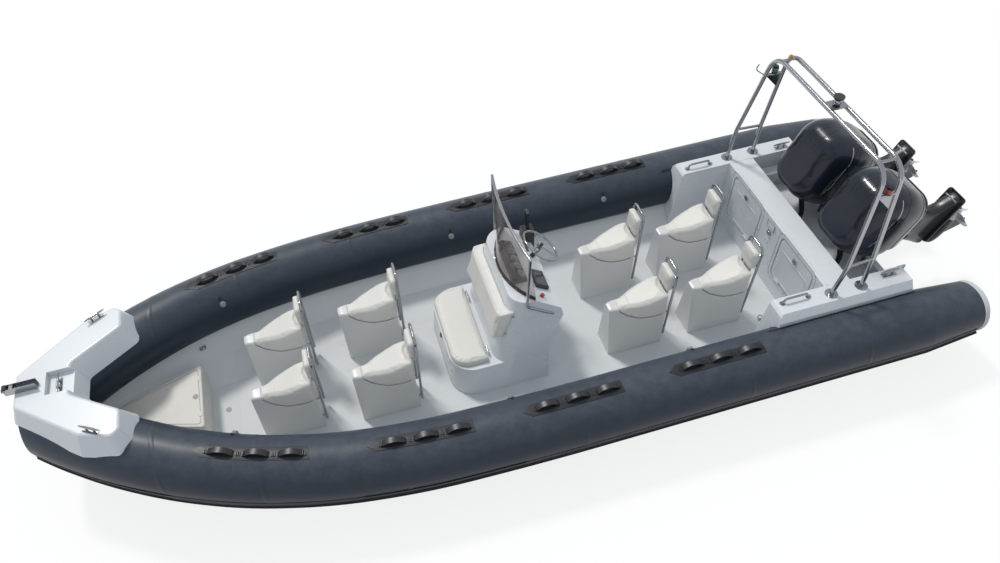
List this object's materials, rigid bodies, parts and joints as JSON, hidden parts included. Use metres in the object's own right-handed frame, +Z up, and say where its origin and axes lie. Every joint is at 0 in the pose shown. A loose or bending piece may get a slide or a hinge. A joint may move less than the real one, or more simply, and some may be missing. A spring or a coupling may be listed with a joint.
{
  "type": "rigid inflatable boat",
  "caption": "Rigid-hulled inflatable boat with jockey seats, centre console, stern arch and tilted twin outboard engines.",
  "frame": {"origin": "on the centre plane at the waterline, amidships", "axes": "+X to the bow, +Y to port, +Z up"},
  "size_m": [9.1934, 3.168, 2.6623],
  "materials": {
    "tube": "reinforced grey fabric, satin",
    "strake": "black moulded rubber",
    "webbing": "black rubber strip and loops",
    "gelcoat": "white glass fibre, gloss",
    "pale": "pale moulded plastic",
    "vinyl": "cream marine vinyl",
    "steel": "polished stainless steel",
    "screen": "tinted acrylic",
    "navy": "dark navy gloss paint",
    "black": "black semi-gloss",
    "prop": "pale grey paint",
    "rollerblack": "black rubber"
  },
  "bodies": {
    "boat": {"collar_port": "tube", "collar_starboard": "tube", "collar_end_caps": "pale", "rubbing_strakes": "strake", "grab_handles": "webbing", "inflation_valves": "strake", "hull": "gelcoat", "cockpit_liner": "gelcoat", "bow_locker": "gelcoat", "side_decks": "gelcoat", "stern_bulkhead": "gelcoat", "splash_well": "gelcoat", "transom": "gelcoat", "seat_pods": "gelcoat", "seat_cushions": "vinyl", "seat_frames": "steel", "seat_backrests": "vinyl", "console": "gelcoat", "console_bolster": "vinyl", "windscreen": "screen", "screen_seal": "strake", "screen_rail": "steel", "helm_instruments": "black", "helm_controls": "black", "arch_lamps": "black", "mooring_cleats": "steel", "deck_rails": "steel", "tow_eyes": "steel", "steering_column": "black", "arch": "steel", "clamp_brackets": "black", "bow_step": "gelcoat", "bow_roller_channel": "steel"},
    "hatch_port": {"hatch_port": "gelcoat"},
    "hatch_starboard": {"hatch_starboard": "gelcoat"},
    "console_seat_lid": {"console_seat_lid": "vinyl"},
    "steering_wheel": {"steering_wheel": "steel"},
    "bow_roller": {"bow_roller": "rollerblack"},
    "swivel_port": {"swivel_bracket_port": "black"},
    "engine_port": {"engine_cowl_port": "navy", "engine_leg_port": "black"},
    "propeller_port": {"propeller_port": "prop"},
    "swivel_starboard": {"swivel_bracket_starboard": "black"},
    "engine_starboard": {"engine_cowl_starboard": "navy", "engine_leg_starboard": "black"},
    "propeller_starboard": {"propeller_starboard": "prop"}
  },
  "joints": [
    {"name": "tilt_port", "type": "hinge", "parent": "boat", "child": "swivel_port", "pos_m": [-3.75, 0.384, 0.715], "axis": [0, 1, 0], "range_deg": [-66, 2]},
    {"name": "steer_port", "type": "hinge", "parent": "swivel_port", "child": "engine_port", "pos_m": [-3.79881, 0.384, 0.82463], "axis": [0.9135, 0, 0.4067], "range_deg": [-30, 30]},
    {"name": "spin_port", "type": "hinge", "parent": "engine_port", "child": "propeller_port", "pos_m": [-4.69834, 0.384, 0.73062], "axis": [0.4067, 0, -0.9135], "continuous": true},
    {"name": "tilt_starboard", "type": "hinge", "parent": "boat", "child": "swivel_starboard", "pos_m": [-3.75, -0.384, 0.715], "axis": [0, 1, 0], "range_deg": [-66, 2]},
    {"name": "steer_starboard", "type": "hinge", "parent": "swivel_starboard", "child": "engine_starboard", "pos_m": [-3.79881, -0.384, 0.82463], "axis": [0.9135, 0, 0.4067], "range_deg": [-30, 30]},
    {"name": "spin_starboard", "type": "hinge", "parent": "engine_starboard", "child": "propeller_starboard", "pos_m": [-4.69834, -0.384, 0.73062], "axis": [0.4067, 0, -0.9135], "continuous": true},
    {"name": "wheel_turn", "type": "hinge", "parent": "boat", "child": "steering_wheel", "pos_m": [-0.505, -0.14, 1.19], "axis": [-0.6115, 0, 0.7912], "range_deg": [-631, 631]},
    {"name": "console_lid", "type": "hinge", "parent": "boat", "child": "console_seat_lid", "pos_m": [0.192, 0, 0.509], "axis": [0, -1, 0], "range_deg": [0, 70]},
    {"name": "hatch_hinge_port", "type": "hinge", "parent": "boat", "child": "hatch_port", "pos_m": [-2.8935, 0.472, 0.316], "axis": [0, 1, 0], "range_deg": [0, 40]},
    {"name": "hatch_hinge_starboard", "type": "hinge", "parent": "boat", "child": "hatch_starboard", "pos_m": [-2.8935, -0.472, 0.316], "axis": [0, 1, 0], "range_deg": [0, 40]},
    {"name": "roller_spin", "type": "hinge", "parent": "boat", "child": "bow_roller", "pos_m": [4.262, 0, 1.218], "axis": [0, 1, 0], "continuous": true}
  ],
  "couplings": [
    {"joint": "steer_starboard", "follows": "steer_port", "ratio": 1},
    {"joint": "wheel_turn", "follows": "steer_port", "ratio": 21}
  ]
}
